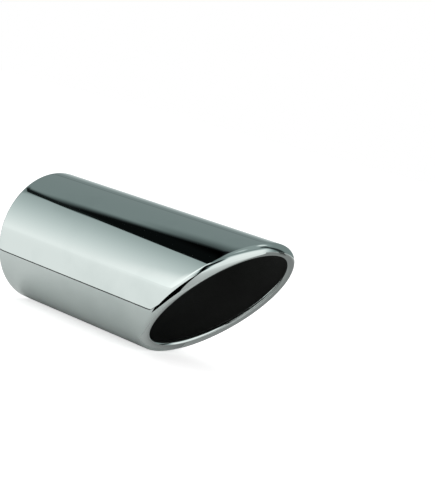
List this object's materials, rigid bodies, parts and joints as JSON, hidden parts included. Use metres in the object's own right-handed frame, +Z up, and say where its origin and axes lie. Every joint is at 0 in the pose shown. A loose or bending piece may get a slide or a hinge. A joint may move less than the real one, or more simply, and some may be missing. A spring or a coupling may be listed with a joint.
{
  "type": "exhaust tip",
  "caption": "Straight round exhaust tip, slash-cut with the long side on top, with a rolled-in lip and an inlet collar that slips over the tailpipe.",
  "frame": {"origin": "centre of the inlet bore, where the collar's straight wall begins, 2.2 mm inside the rear rim", "axes": "+Y along the tube's axis, out of the inlet towards the car; the outlet faces -Y; +Z up, with the long side of the slash cut on top; the plane X = 0 is the tip's plane of symmetry"},
  "size_m": [0.076, 0.168, 0.076],
  "materials": {
    "polished_steel": "mirror polished outside and over the lip, matt black inside"
  },
  "bodies": {
    "root": {"tip_shell": "polished_steel"}
  },
  "joints": []
}
